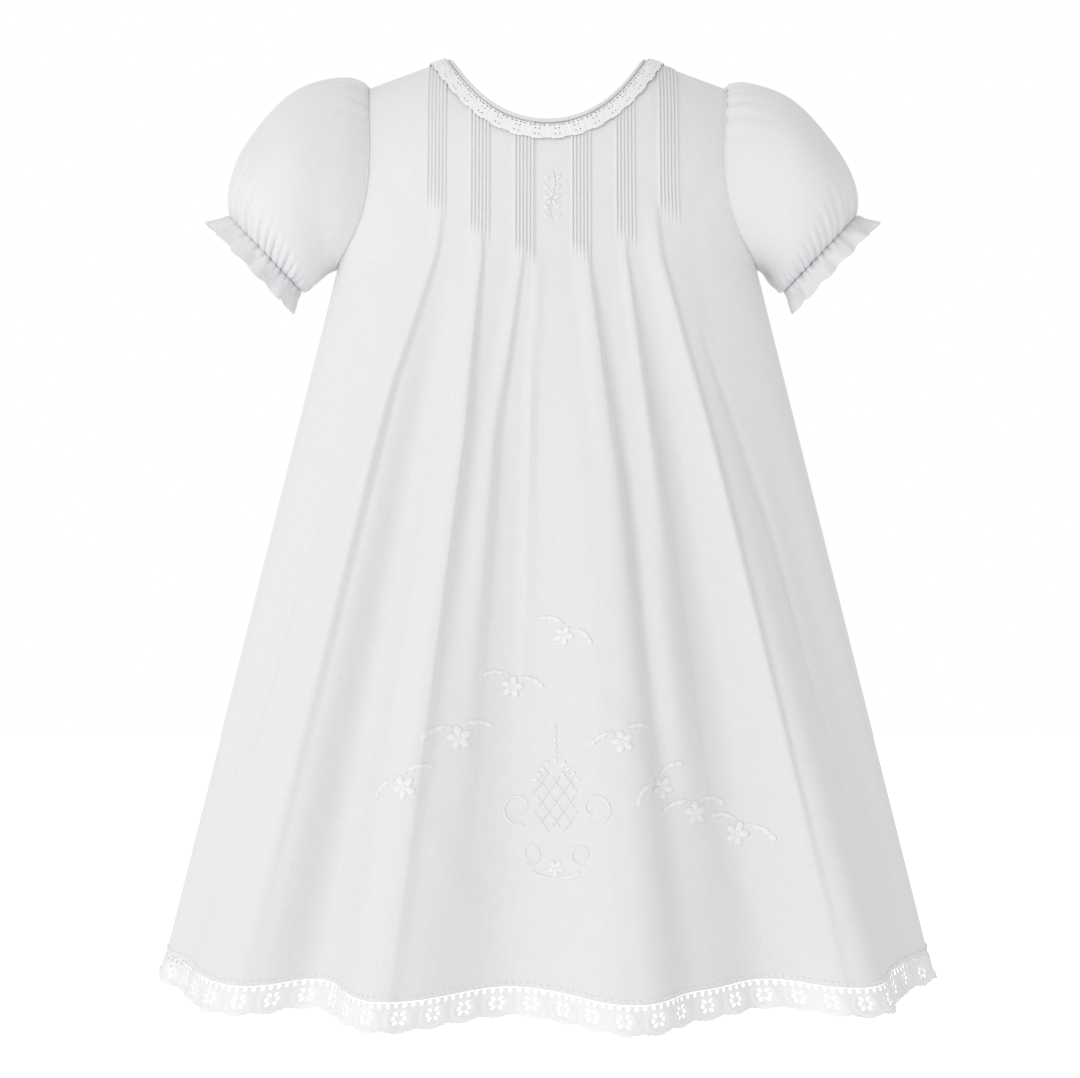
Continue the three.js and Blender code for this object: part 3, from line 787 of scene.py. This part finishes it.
@dataclass
class Sleeve:
    """A puffed sleeve, gathered at its head and on elastic above a frill. hand is 1 for the gown's left."""

    hand: int
    wall: float = 0.35
    turns: int = 300
    rows: int = 62
    frill_rows: int = 18
    sunk_out: float = 4.5
    sunk_down: float = 6
    frill_out: float = 11.5
    frill_flare: float = 5.5
    frill_flute: float = 2.6
    flutes: int = 13

    def section(self, t: Array) -> dict[str, Array]:
        """Returns the sleeve's section a share t of the way from the armhole to the elastic."""
        last = len(SLEEVE_SECTIONS) - 1
        at = np.clip(t, 0, 1) * last
        i = np.minimum(np.floor(at).astype(int), last - 1)
        f = (at - i)[:, None]
        a, b, c, d = (SLEEVE_SECTIONS[np.clip(i + k, 0, last)] for k in (-1, 0, 1, 2))
        values = b + 0.5 * f * (c - a + f * (2 * a - 5 * b + 4 * c - d + f * (3 * (b - c) + d - a)))
        return {name: values[:, k] for k, name in enumerate(SLEEVE_COLUMNS)}

    def gathers(self, angle: Array, t: Array) -> Array:
        """Returns how far the gathers lift the cloth, at the head and on both sides of the elastic."""
        shift = 0.6 * self.hand
        head = 0.6 * crimp(31 * angle + 2.0 * np.sin(2 * angle + shift)) + 0.4 * np.cos(22 * angle + shift)
        cuff = 0.65 * crimp(37 * angle + 1.5 * np.sin(3 * angle + shift)) + 0.35 * np.cos(18 * angle - shift)
        head_end = 0.30 + 0.08 * np.cos(5 * angle + shift)
        near_top = 0.06 + ((1 + np.cos(angle)) / 2) ** 4
        at_head = 2.2 * near_top * smooth(t / 0.05) * (1 - smooth(t / head_end))
        at_cuff = 3.0 * smooth((t - 0.62) / 0.34) * (1 - smooth((t - 1.0) / 0.5))
        sunk = 1.4 * np.exp(-((t / 0.016) ** 2)) + 1.2 * np.exp(-(((t - 1) / 0.03) ** 2))
        puff = 1.1 * np.sin(5 * angle + 3 * t + shift) * np.sin(pi * np.clip(t, 0, 1)) ** 2
        return head * at_head + cuff * at_cuff + puff - sunk

    def place(self, turn: Array, t: Array) -> Array:
        """Returns points of the sleeve.

        Args:
            turn: 0 at the shoulder, round the front and under the arm, to 1.
            t: 0 at the armhole, 1 at the elastic, 2 at the frill's edge.

        Returns:
            The points, one row each.
        """
        angle = 2 * pi * turn
        down = (1 - np.cos(angle)) / 2
        s = self.section(t)
        seam_z = lerp(-FORM.shoulder_drop, -FORM.underarm_drop, down)
        side = np.where(np.sin(angle) >= 0, -1.0, 1.0)
        seam = FORM.form_point(side, FORM.armhole_x(seam_z), seam_z)
        hollow = seam[:, 0] - lerp(FORM.shoulder_half, FORM.underarm_half, down)
        rounding = lerp(seam[:, 1] / SLEEVE_SECTIONS[0, 4], -np.sin(angle), s["oval"])
        lift = self.gathers(angle, t)
        reach = np.clip(t - 1, 0, 1)
        swell = 1 + lift / 46
        mid_x, mid_z = (s["top_x"] + s["under_x"]) / 2, (s["top_z"] + s["under_z"]) / 2
        x = mid_x + (lerp(s["top_x"], s["under_x"], down) - mid_x) * swell + hollow * (1 - s["oval"])
        z = mid_z + (lerp(s["top_z"], s["under_z"], down) - mid_z) * swell
        y = s["depth"] * rounding * swell
        sunk = 1.0 if self.hand > 0 else 0.0
        x -= sunk * self.sunk_out * smooth(t)
        z -= sunk * self.sunk_down * np.sin(pi * np.clip(t, 0, 1)) * (1 - down)
        cuff = SLEEVE_SECTIONS[-1]
        up = np.array([cuff[0] - cuff[2], cuff[1] - cuff[3]])
        up /= np.linalg.norm(up)
        flute = self.frill_flute * (np.cos(angle * self.flutes) + 0.35 * np.cos(angle * 23 + 1.3)) * reach
        away = self.frill_flare * reach**0.7 + flute
        out = self.frill_out * reach * (1 + 0.05 * np.cos(self.flutes * angle + 1.0))
        x += up[1] * out + up[0] * np.cos(angle) * away
        z += -up[0] * out + up[1] * np.cos(angle) * away
        y += -np.sin(angle) * away
        return np.stack([self.hand * x, y, z], axis=-1)

    def flat(self, turn: Array, t: Array) -> Array:
        """Returns flat coordinates of the sleeve."""
        return np.stack([turn * 300 + 3000 + 500 * self.hand, -t * 85], axis=-1)

    def build(self, cloth: bpy.types.Material) -> None:
        """Builds and dresses the sleeve with its frill."""
        ts = np.concatenate([np.linspace(0, 1, self.rows + 1), np.linspace(1, 2, self.frill_rows + 1)[1:]])
        turns = np.linspace(0, 1, self.turns + 1)
        name = "puff_left" if self.hand > 0 else "puff_right"
        piece = sheet_mesh(name, turns, ts, self.place, self.flat, self.hand < 0)
        bm = bmesh.new()
        bm.from_mesh(piece.data)
        bmesh.ops.remove_doubles(bm, verts=bm.verts, dist=0.00002)
        for edge in bm.edges:
            edge.smooth = not edge.is_boundary
        bmesh.ops.recalc_face_normals(bm, faces=bm.faces)
        bm.to_mesh(piece.data)
        bm.free()
        thicken(piece, self.wall)
        dress(piece, cloth, "batiste", "sleeve_left" if self.hand > 0 else "sleeve_right")


# ---------------------------------------------------------------- lace and binding


@dataclass
class LaceStrip:
    """A strip of lace as a net of small faces, with its openings left out and its edge scalloped."""

    name: str
    node: str
    width: float
    repeats: int
    per_repeat: int
    across: int
    wall: float = 0.35

    def is_open(self, p: Array, q: Array) -> Array:
        """Says where the lace has no thread.

        Args:
            p: place in a repeat, from 0 to 1.
            q: place across the strip, from 0 at its foot to 1.

        Returns:
            True where it is open.
        """
        x, y = (p - 0.5) * self.width, (q - 0.5) * self.width
        edge = 0.86 + 0.13 * np.sqrt(np.abs(np.sin(pi * p)))
        is_past = q > edge
        eyelets = (np.abs((p * 4) % 1 - 0.5) < 0.22) & (np.abs(q - 0.12) < 0.045)
        radius = np.hypot(x, y) / self.width
        petals = (radius > 0.12) & (radius < 0.23) & (np.cos(6 * np.arctan2(y, x)) > 0.5)
        return is_past | eyelets | petals

    def relief(self, p: Array, q: Array) -> Array:
        """Returns how far the worked threads stand off the net, in mm."""
        radius = np.hypot(p - 0.5, q - 0.5)
        ring = 0.55 * np.exp(-(((radius - 0.34) / 0.05) ** 2)) + 0.35 * np.exp(-((radius / 0.08) ** 2))
        net = 0.14 * np.cos(20 * pi * p) * np.cos(20 * pi * q) * (radius > 0.42)
        return ring + net + 0.3 * np.exp(-(((q - 0.9) / 0.05) ** 2))

    def build(self, us: Array, place: Place, is_ring: bool, lace: bpy.types.Material) -> bpy.types.Object:
        """Builds and dresses the strip.

        Args:
            us: the columns' places along the strip.
            place: gives the points for columns and for rows from 0 to 1.
            is_ring: whether it closes on itself.
            lace: its finish.

        Returns:
            The piece.
        """
        length = self.repeats * self.per_repeat
        index = np.arange(length + 1)

        def at(i: Array, q: Array) -> Array:
            """Returns points of the strip."""
            return place(us[np.rint(i).astype(int)], q, self.relief((i / self.per_repeat) % 1, q))

        def flat(i: Array, q: Array) -> Array:
            """Returns flat coordinates of the strip."""
            return np.stack([i / self.per_repeat * self.width, -q * self.width], axis=-1)

        piece = sheet_mesh(self.name, index, np.linspace(0, 1, self.across + 1), at, flat, False)
        bm = bmesh.new()
        bm.from_mesh(piece.data)
        layer = bm.loops.layers.uv["flat"]
        centres = np.array([np.mean([loop[layer].uv for loop in face.loops], axis=0) for face in bm.faces]) / MM
        is_open = self.is_open((centres[:, 0] / self.width) % 1, -centres[:, 1] / self.width)
        gone = [face for face, out in zip(list(bm.faces), is_open) if out]
        bmesh.ops.delete(bm, geom=gone, context="FACES")
        if is_ring:
            bmesh.ops.remove_doubles(bm, verts=bm.verts, dist=0.00002)
        for corner in [v for v in bm.verts if not v.is_manifold]:
            bmesh.utils.vert_separate(corner, [e for e in corner.link_edges if e.is_boundary])
        rim = [v for v in bm.verts if v.is_boundary]
        for _ in range(2):
            bmesh.ops.smooth_vert(bm, verts=rim, factor=0.4, use_axis_x=True, use_axis_y=True, use_axis_z=True)
        for edge in bm.edges:
            edge.smooth = not edge.is_boundary
        bm.to_mesh(piece.data)
        bm.free()
        thicken(piece, self.wall)
        dress(piece, lace, "cotton_lace", self.node)
        return piece


@dataclass
class NeckTrim:
    """The neck's narrow binding and its flat lace edging."""

    binding: float = 2.4
    lace_width: float = 8.2
    clear: float = 0.4
    over: float = 1.2

    def point(self, turn: Array, away: Array, off: Array | float) -> Array:
        """Returns a point near the neck.

        Args:
            turn: -1 at the middle of the back, 0 at the front, 1 at the back again.
            away: distance outside the cut edge along the cloth.
            off: distance off the cloth.

        Returns:
            The points, one row each.
        """

        def form(turn: Array, away: Array) -> Array:
            """Returns a point of the form."""
            side = np.where(np.abs(turn) <= 0.5, -1.0, 1.0)
            angle = turn * pi
            reach = FORM.neck_half + away
            dip = FORM.neck_dip(np.abs(np.sin(angle)))
            drop = np.where(side < 0, FORM.neck_drop[-1], FORM.neck_drop[1])
            z = -(drop + away) * dip + FORM.shoulder_z(reach) * (1 - dip)
            return FORM.form_point(side, reach * np.sin(angle), z)

        step = 0.008
        along = form(turn + step, away) - form(turn - step, away)
        down = form(turn, away + 0.05) - form(turn, away - 0.05)
        out = -np.cross(along, down)
        out /= np.maximum(np.linalg.norm(out, axis=-1, keepdims=True), 1e-9)
        return form(turn, away) + out * np.broadcast_to(off, turn.shape)[..., None]

    def even_turns(self, away: float, count: int) -> Array:
        """Returns turns that lie evenly round the neck."""
        fine = np.linspace(-0.998, 0.998, 1601)
        points = self.point(fine, np.full_like(fine, away), 0.0)
        run = np.concatenate([[0], np.cumsum(np.linalg.norm(np.diff(points, axis=0), axis=1))])
        return np.interp(np.linspace(0, run[-1], count + 1), run, fine)

    def build(self, cloth: bpy.types.Material, lace: bpy.types.Material) -> None:
        """Builds and dresses the binding and the lace."""
        turns = self.even_turns(0.0, 260)
        phases = np.linspace(0, 2 * pi, 13)

        def roll(turn: Array, phase: Array) -> Array:
            """Returns points of the binding, a flattened roll over the cut edge."""
            away = -0.6 - self.binding / 2 + (self.binding / 2) * np.cos(phase)
            return self.point(turn, away, -0.4 + (0.95 + 0.06 * np.sin(turn * 520)) * np.sin(phase))

        def flat(turn: Array, phase: Array) -> Array:
            """Returns flat coordinates of the binding."""
            return np.stack([turn * 150 + 5000, phase * 1.5], axis=-1)

        piece = sheet_mesh("binding", turns, phases, roll, flat, False)
        bm = bmesh.new()
        bm.from_mesh(piece.data)
        bmesh.ops.remove_doubles(bm, verts=bm.verts, dist=0.00002)
        bmesh.ops.holes_fill(bm, edges=[e for e in bm.edges if e.is_boundary], sides=0)
        bmesh.ops.recalc_face_normals(bm, faces=bm.faces)
        bm.to_mesh(piece.data)
        bm.free()
        dress(piece, cloth, "batiste", "neck_binding")
        strip = LaceStrip("neck_edging", "neck_lace", self.lace_width, 36, 14, 14)
        columns = self.even_turns(self.lace_width * 0.6, strip.repeats * strip.per_repeat)

        def lay(turn: Array, q: Array, rise: Array) -> Array:
            """Returns points of the lace, which lies over the tucks."""
            return self.point(turn, self.clear + q * self.lace_width, self.over + 0.3 * q + 0.5 * rise)

        edging = strip.build(columns, lay, False, lace)


@dataclass
class HemLace:
    """The lace that hangs from the hem all round."""

    width: float = 15
    flute: float = 1.3
    repeats: int = 64
    flare: float = 0.4

    def build(self, lace: bpy.types.Material) -> None:
        """Builds and dresses the lace."""
        strip = LaceStrip("hem_edging", "hem_lace", self.width, self.repeats, 24, 20)
        half = self.repeats // 2 * strip.per_repeat
        front, back = even_threads(-1, 2.0, half), even_threads(1, 2.0, half)
        rounds = np.concatenate([front + 1, 3 - back[::-1][1:]])
        span = FORM.hem_drop - FORM.underarm_drop

        def lay(at: Array, q: Array, rise: Array) -> Array:
            """Returns points of the lace: at runs 0 to 2 across the front, then 2 to 4 across the back."""
            is_front = at <= 2
            u = np.where(is_front, at - 1, 3 - at)
            drop = (q * self.width + 0.1) / span
            wave = self.flute * np.sin(at / 4 * 2 * pi * 38 + 2 * np.sin(at * 5)) * q + self.flare * q**2 + rise
            points = np.where(
                is_front[:, None],
                FORM.cloth_point(-1, np.where(is_front, u, 0), 2 + drop, wave),
                FORM.cloth_point(1, np.where(is_front, 0, u), 2 + drop, wave),
            )
            return points

        piece = strip.build(rounds, lay, True, lace)


# ---------------------------------------------------------------- embroidery


@dataclass
class Embroidery:
    """Raised white satin stitch on the front: sprays in an arch over a lattice, and one on the bodice.

    The motifs are plain five-petalled flowers, buds, leaves and scrolls. Places are in mm in front view.
    """

    height: float = 0.8
    hem_stitches: int = 150
    sprays: tuple[tuple[float, float, float, float], ...] = (
        (-70, -385, 13, 0.5),
        (-44, -360, 13, 0.2),
        (-18, -334, 12, -0.2),
        (8, -308, 11, -0.5),
        (37, -362, 12, 0.3),
        (58, -385, 12, 0.7),
        (76, -398, 13, 0.1),
        (100, -409, 13, -0.4),
    )

    def dome(self, bm: bmesh.types.BMesh, x: float, z: float, length: float, width: float, turn: float) -> None:
        """Adds one raised stitch shape, an oval dome.

        Args:
            bm: the mesh being built, in flat mm with its height in Z.
            x: its middle across.
            z: its middle down.
            length: along its turn.
            width: across.
            turn: angle from across, in radians.
        """
        made = bmesh.ops.create_uvsphere(bm, u_segments=8, v_segments=5, radius=1.0)
        c, s = np.cos(turn), np.sin(turn)
        for vertex in made["verts"]:
            a, b, h = vertex.co
            a, b = a * length / 2, b * width / 2
            vertex.co = (x + a * c - b * s, z + a * s + b * c, h * self.height)

    def cord(self, bm: bmesh.types.BMesh, points: Array, width: float) -> None:
        """Adds a line of stem stitch through flat points."""
        for (x0, z0), (x1, z1) in zip(points[:-1], points[1:]):
            run = float(np.hypot(x1 - x0, z1 - z0))
            self.dome(bm, (x0 + x1) / 2, (z0 + z1) / 2, run * 1.7, width, float(np.arctan2(z1 - z0, x1 - x0)))

    def spray(self, bm: bmesh.types.BMesh, x: float, z: float, size: float, turn: float) -> None:
        """Adds a flower with leaves and buds on a curved stem."""
        for k in range(5):
            a = turn + k * 2 * pi / 5
            self.dome(bm, x + 0.27 * size * np.cos(a), z + 0.27 * size * np.sin(a), 0.50 * size, 0.34 * size, a)
        self.dome(bm, x, z, 0.2 * size, 0.2 * size, 0)
        for hand in (-1, 1):
            t = np.linspace(0.5, 1.25, 8)
            sweep = turn + hand * (0.5 + 1.1 * (t - 0.5))
            line = np.stack([x + size * t * np.cos(sweep), z + size * t * np.sin(sweep)], axis=-1)
            self.cord(bm, line, 0.10 * size)
            for k in (2, 4, 6):
                a = float(sweep[k]) + hand * 1.1
                self.dome(
                    bm, line[k, 0] + 0.16 * size * np.cos(a), line[k, 1] + 0.16 * size * np.sin(a),
                    0.44 * size, 0.21 * size, a,
                )
            self.dome(bm, line[-1, 0], line[-1, 1], 0.2 * size, 0.16 * size, 0)

    def scroll(self, bm: bmesh.types.BMesh, x: float, z: float, size: float, hand: int, width: float) -> None:
        """Adds a C-shaped scroll that curls in at its end."""
        t = np.linspace(0, 1, 22)
        angle = -0.6 * pi + 2.0 * pi * t
        radius = size * (1 - 0.62 * t)
        line = np.stack([x + hand * radius * np.cos(angle), z + radius * np.sin(angle)], axis=-1)
        self.cord(bm, line, width)

    def medallion(self, bm: bmesh.types.BMesh, x: float, z: float) -> None:
        """Adds the lattice with scrolls at its sides, a spire over it and a spray under it."""
        half, pitch = 10.5, 5.2
        for k in np.arange(-2, 3):
            for hand in (-1, 1):
                shift = k * pitch
                length = 2 * half - abs(shift)
                t = np.linspace(-0.5, 0.5, 9) * length
                line = np.stack([x + (t + shift) * 0.7, z + hand * (t - shift) * 0.95], axis=-1)
                self.cord(bm, line, 0.7)
        for hand in (-1, 1):
            self.scroll(bm, x + hand * 19, z - 3, 9, hand, 1.1)
            self.scroll(bm, x + hand * 13, z - 26, 6, -hand, 1.0)
            for k in range(4):
                self.dome(bm, x + hand * (4 + 2.2 * k), z + 19 - 2.6 * k, 4.6, 1.9, hand * (1.0 - 0.25 * k))
        for k in range(6):
            self.dome(bm, x, z + 21 + 3.4 * k, 3.4, 2.2 - 0.25 * k, pi / 2)
        self.spray(bm, x, z - 33, 9, -pi / 2)

    def bodice(self, bm: bmesh.types.BMesh, x: float, z: float) -> None:
        """Adds the tall spray between the two middle groups of tucks."""
        t = np.linspace(0, 1, 12)
        line = np.stack([x + 1.4 * np.sin(2 * pi * t), z + 13 - 27 * t], axis=-1)
        self.cord(bm, line, 0.6)
        for k in range(5):
            for hand in (-1, 1):
                self.dome(bm, x + hand * 3.1, z + 9 - 5 * k, 4.4, 1.7, hand * 0.75)
        for k in range(5):
            a = k * 2 * pi / 5 + 0.3
            self.dome(bm, x + 2.2 * np.cos(a), z - 2 + 2.2 * np.sin(a), 3.2, 2.0, a)

    def build(self, floss: bpy.types.Material) -> None:
        """Builds the motifs flat, then lays them on the cloth."""
        rows = (
            ("skirt_embroidery", self.skirt, -1), ("bodice_embroidery", self.on_bodice, -1),
            ("hemstitch_front", self.hemstitch, -1), ("hemstitch_back", self.hemstitch, 1),
        )
        for name, draw, side in rows:
            bm = bmesh.new()
            draw(bm, side)
            for face in bm.faces:
                face.smooth = True
            mesh = bpy.data.meshes.new(name)
            bm.to_mesh(mesh)
            bm.free()
            co = np.empty(len(mesh.vertices) * 3)
            mesh.vertices.foreach_get("co", co)
            x, z, h = co.reshape(-1, 3).T
            u = FORM.thread_at(x, z)
            points = FORM.cloth_point(side, u, FORM.v_at(side, u, z), h)
            mesh.vertices.foreach_set("co", (points * MM).astype(np.float32).ravel())
            mesh.update()
            piece = bpy.data.objects.new(name, mesh)
            bpy.context.scene.collection.objects.link(piece)
            bm = bmesh.new()
            bm.from_mesh(mesh)
            bmesh.ops.recalc_face_normals(bm, faces=bm.faces)
            bm.to_mesh(mesh)
            bm.free()
            dress(piece, floss, "cotton_lace")

    def hemstitch(self, bm: bmesh.types.BMesh, side: int) -> None:
        """Draws the row of small stitches just above the lace on one side."""
        threads = even_threads(side, 1.99, self.hem_stitches)[2:-2]
        heights = FORM.hem_z(side, threads) + 2.2
        for x, z in zip(FORM.thread_x(threads, heights), heights):
            self.dome(bm, float(x), float(z), 1.7, 1.0, 0.3)

    def skirt(self, bm: bmesh.types.BMesh, _side: int) -> None:
        """Draws the arch and the medallion."""
        for x, z, size, turn in self.sprays:
            self.spray(bm, x, z, size, pi / 2 + turn)
        self.medallion(bm, 4, -392)

    def on_bodice(self, bm: bmesh.types.BMesh, _side: int) -> None:
        """Draws the bodice's spray."""
        self.bodice(bm, 2.4, -80)


# ---------------------------------------------------------------- studio


@dataclass
class Studio:
    """White surroundings, soft light from the left and behind, a pale floor well below, and the camera."""

    distance: float = 1.2
    middle: tuple[float, float] = (-0.0038, -0.2588)
    lens: float = 73.73
    floor_z: float = -0.9
    floor_glow: float = 0.30
    surroundings: float = 0.735

    def build(self) -> None:
        """Sets the light, the floor and the camera."""
        scene = bpy.context.scene
        scene.view_settings.view_transform = "Standard"
        world = bpy.data.worlds.new("white_surroundings")
        scene.world = world
        world.use_nodes = True
        tree = world.node_tree
        background = tree.nodes["Background"]
        background.inputs[0].default_value = (1, 1, 1, 1)
        ray = add_node(tree, "ShaderNodeLightPath").outputs["Is Camera Ray"]
        strength = add_node(tree, "ShaderNodeMapRange", None, Value=ray, To_Min=self.surroundings, To_Max=1.0)
        tree.links.new(strength.outputs[0], background.inputs[1])
        self.lamp("soft_left", (-1.45, -1.7, 0.6), 1.2, 13.6)
        self.lamp("soft_behind", (-0.6, 2.2, 0.6), 1.4, 9)
        self.floor()
        camera = bpy.data.objects.new("camera", bpy.data.cameras.new("camera"))
        camera.data.lens = self.lens
        camera.location = (self.middle[0], -self.distance, self.middle[1])
        camera.rotation_euler = (pi / 2, 0, 0)
        scene.collection.objects.link(camera)
        scene.camera = camera

    def lamp(self, name: str, place: tuple[float, float, float], size: float, power: float) -> None:
        """Adds a square soft light that faces the gown."""
        light = bpy.data.lights.new(name, "AREA")
        light.size, light.energy = size, power
        lamp = bpy.data.objects.new(name, light)
        lamp.location = place
        aim = np.array([0, 0, -0.25]) - np.array(place)
        yaw = np.arctan2(aim[1], aim[0]) - pi / 2
        lamp.rotation_euler = (pi / 2 + np.arctan2(aim[2], np.hypot(aim[0], aim[1])), 0, yaw)
        bpy.context.scene.collection.objects.link(lamp)

    def floor(self) -> None:
        """Adds the floor, matt white paper that a little light of its own keeps from greying."""
        bm = bmesh.new()
        bmesh.ops.create_grid(bm, x_segments=1, y_segments=1, size=6.0)
        bmesh.ops.translate(bm, verts=bm.verts, vec=(0, 0, self.floor_z))
        mesh = bpy.data.meshes.new("floor")
        bm.to_mesh(mesh)
        bm.free()
        sheet = bpy.data.objects.new("floor", mesh)
        bpy.context.scene.collection.objects.link(sheet)
        material = bpy.data.materials.new("matt_white_paper")
        material.use_nodes = True
        shader = material.node_tree.nodes["Principled BSDF"]
        shader.inputs["Base Color"].default_value = linear("#f4f4f4")
        shader.inputs["Roughness"].default_value = 1.0
        shader.inputs["Emission Color"].default_value = (1, 1, 1, 1)
        ray = add_node(material.node_tree, "ShaderNodeLightPath").outputs["Is Camera Ray"]
        glow = add_node(material.node_tree, "ShaderNodeMapRange", None, Value=ray, To_Min=self.floor_glow, To_Max=1.0)
        material.node_tree.links.new(glow.outputs[0], shader.inputs["Emission Strength"])
        mesh.materials.append(material)


def main() -> None:
    """Builds the gown in order and the studio round it."""
    logging.basicConfig(level=logging.INFO, format="%(name)s %(message)s")
    cloth, lace, floss, pearl = BATISTE.build(), LACE_THREAD.build(), FLOSS.build(), PEARL.build()
    Studio().build()
    FrontPanel().build(cloth)
    for hand in (1, -1):
        BackHalf(hand).build(cloth)
        Sleeve(hand).build(cloth)
    Placket().build(cloth, pearl, floss)
    NeckTrim().build(cloth, lace)
    HemLace().build(lace)
    Embroidery().build(floss)
    bpy.context.view_layer.update()


if __name__ == "__main__":
    main()
